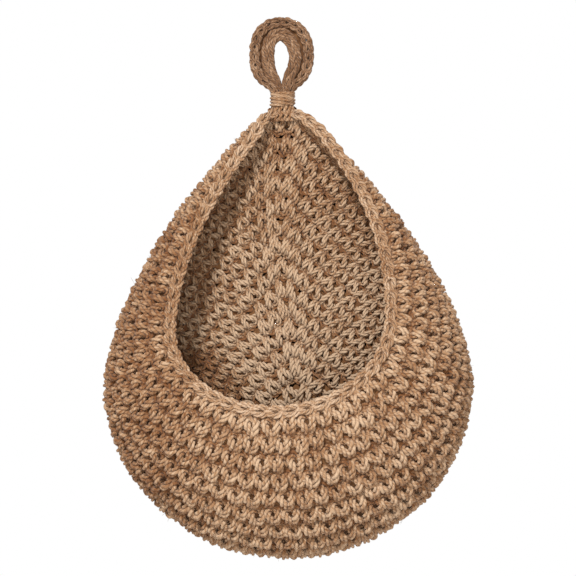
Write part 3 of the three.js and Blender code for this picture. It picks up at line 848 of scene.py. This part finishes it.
def loop_lane(share):
    """A line round the hole, share of the way across the strap, whose ends run down into the neck."""
    reach = 0.86 * math.pi  # how far round from the top the line follows the hole
    angle = np.linspace(-reach, reach, 160)
    half_height = HOLE_HEIGHT / 2
    holes = [loop_curve(angle, HOLE_HALF_WIDTH, half_height, -half_height, power) for power in HOLE_POWERS]
    hole = np.where(angle[:, None] < 0, *holes)
    outline = loop_curve(angle, LOOP_HALF_WIDTH, LOOP_HALF_HEIGHT, LOOP_MIDDLE_Z, LOOP_POWER)
    ring = mix(hole, outline, share)
    near = 1.0 if share > 0.5 else 0.45  # the inner course goes into the neck nearer to its middle
    foot, bend = np.array([4.4 * near, 0, -36.0]), np.array([4.6 * near, 0, -30.0])
    mirror = (-1, 1, 1)
    left = spline([foot * mirror, bend * mirror, ring[0], ring[6]], 12)[:-12]
    right = spline([ring[-7], ring[-1], bend, foot], 12)[12:]
    points = np.concatenate([left[:-1], ring, right[1:]])
    return make_lane(points, step=0.9, passes=10, drawn_in=(3, 24))


def loop_outer():
    """The outer course: a chain on two ropes, with the inner mass between it and the inner course."""
    lane = loop_lane(0.80)
    raised = lane._replace(line=lane.line + lane.off * 0.6)
    strands = Strands()
    chain(strands, raised, pitch=5.4, spread=1.7, radius=1.45, tone=-0.02)
    ropes(strands, lane, rope_layer((-1.5, 1.5), -1.35, 1), lay=13.0, tone=-0.02, least=0.55)
    steps = np.linspace(0, 1, 160)
    lines = [loop_lane(share).line for share in (0.35, 0.7)]
    strands.sheet(np.stack([between(steps, np.linspace(0, 1, len(line)), line) for line in lines], 1))
    return strands


def loop_inner():
    """The inner course: three ropes in front and three behind."""
    asides = (-1.9, 0.1, 2.1)
    places = rope_layer(asides, -1.35, 1) + rope_layer(asides, 1.35, -1)
    strands = Strands()
    ropes(strands, loop_lane(0.25), places, lay=19.0, tone=0.0, least=0.55)
    return strands


# The pieces, each in place of its solid

def on_basket(strands, name, materials, node):
    """A piece that moves with the basket."""
    piece = strands.write(name, materials)
    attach(piece, "basket")
    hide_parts(node)


def across_neck(strands, name, node):
    """The loop's courses stay with the hook."""
    piece = strands.write(name, [JUTE_LOOP, CORE_WITH_PAINTED_SHADE])
    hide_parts(node)
    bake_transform(piece)


for k in range(1, PANEL_ROUNDS + 1):
    on_basket(panel_row(k), "stitches_panel_%02d" % k, [JUTE, CORE_WITH_PAINTED_SHADE], "panel_round_%02d" % k)
for k in range(1, POCKET_ROUNDS + 1):
    on_basket(pocket_row(k), "stitches_pocket_%02d" % k, [JUTE, CORE_WITH_PAINTED_SHADE], "pocket_round_%02d" % k)
on_basket(rim_braid(), "rim_braid", [JUTE_LIGHT], "rim_edging")
on_basket(neck_winding(), "neck_winding", [JUTE_LIGHT], "neck_wrap")
on_basket(neck_strands(), "neck_strands", [JUTE, CORE_WITH_PAINTED_SHADE], "gathered_neck")
across_neck(loop_outer(), "loop_outer_braid", "loop_outer_course")
across_neck(loop_inner(), "loop_inner_braid", "loop_inner_course")


# Floor, light and camera, in metres

FLOOR_Z, FLOOR_HALF = -1.2, 2  # the basket hangs at the height of a wall hook
AIM = (0.0, 0.0, -0.16)  # the lights face the middle of the pouch
CAMERA_TARGET = Vector((0.0015, -0.02, -0.1446))
CAMERA_AZIMUTH, CAMERA_ROLL = math.radians(2.5), math.radians(-1.3)
CAMERA_DISTANCE, HALF_VIEW = 1.3, 0.1648


def add_floor():
    corners = [(x * FLOOR_HALF, y * FLOOR_HALF, FLOOR_Z) for x, y in ((-1, -1), (1, -1), (1, 1), (-1, 1))]
    mesh = bpy.data.meshes.new("floor")
    mesh.from_pydata(corners, [], [(0, 1, 2, 3)])
    floor = bpy.data.objects.new("floor", mesh)
    bpy.context.scene.collection.objects.link(floor)
    pale = bpy.data.materials.new("pale_floor")
    pale.use_nodes = True
    shader = pale.node_tree.nodes["Principled BSDF"]
    shader.inputs["Base Color"].default_value = (0.8, 0.8, 0.8, 1)
    shader.inputs["Roughness"].default_value = 0.9
    mesh.materials.append(pale)


def add_light(name, place, size, power):
    """A round soft light that faces the basket."""
    data = bpy.data.lights.new(name, "AREA")
    data.shape = "DISK"
    data.size = size
    data.energy = power
    lamp = bpy.data.objects.new(name, data)
    lamp.location = place
    lamp.rotation_euler = (Vector(AIM) - Vector(place)).to_track_quat("-Z", "Y").to_euler()
    lamp.visible_camera = False
    bpy.context.scene.collection.objects.link(lamp)


def add_world():
    """Warm light from all round, and plain white where the camera and reflections see it."""
    world = bpy.data.worlds.new("white")
    bpy.context.scene.world = world
    world.use_nodes = True
    tree = Nodes(world.node_tree)
    light = tree.add("Background", {"Color": (1.0, 0.88, 0.76, 1), "Strength": 0.52})
    white = tree.add("Background", {"Color": (1, 1, 1, 1), "Strength": 1.0})
    rays = tree.add("LightPath").outputs
    seen = rays["Is Camera Ray"]
    for ray in ("Is Glossy Ray", "Is Transmission Ray"):
        seen = tree.math("MAXIMUM", seen, rays[ray])
    both = tree.add("MixShader", {"Fac": seen, 1: light.outputs[0], 2: white.outputs[0]})
    tree.add("OutputWorld", {"Surface": both.outputs[0]})


def add_camera():
    """Seen from the front, a little from the right and a little turned."""
    data = bpy.data.cameras.new("camera")
    data.angle = 2 * math.atan(HALF_VIEW / CAMERA_DISTANCE)
    data.clip_start = 0.05
    data.clip_end = 20
    camera = bpy.data.objects.new("camera", data)
    bpy.context.scene.collection.objects.link(camera)
    back = Vector((math.sin(CAMERA_AZIMUTH), -math.cos(CAMERA_AZIMUTH), 0))
    camera.location = CAMERA_TARGET + back * CAMERA_DISTANCE
    facing = (CAMERA_TARGET - camera.location).to_track_quat("-Z", "Y").to_matrix()
    camera.rotation_euler = (facing @ Matrix.Rotation(CAMERA_ROLL, 3, "Z")).to_euler()
    bpy.context.scene.camera = camera


add_floor()
add_light("key", (-0.22, -1.25, 0.62), size=0.22, power=19.5)
add_light("fill", (0.16, -1.45, -0.3), size=0.7, power=8.2)
add_light("back", (0.5, 1.6, 0.5), size=1.0, power=22)
add_world()
add_camera()
bpy.context.scene.view_settings.view_transform = "Standard"
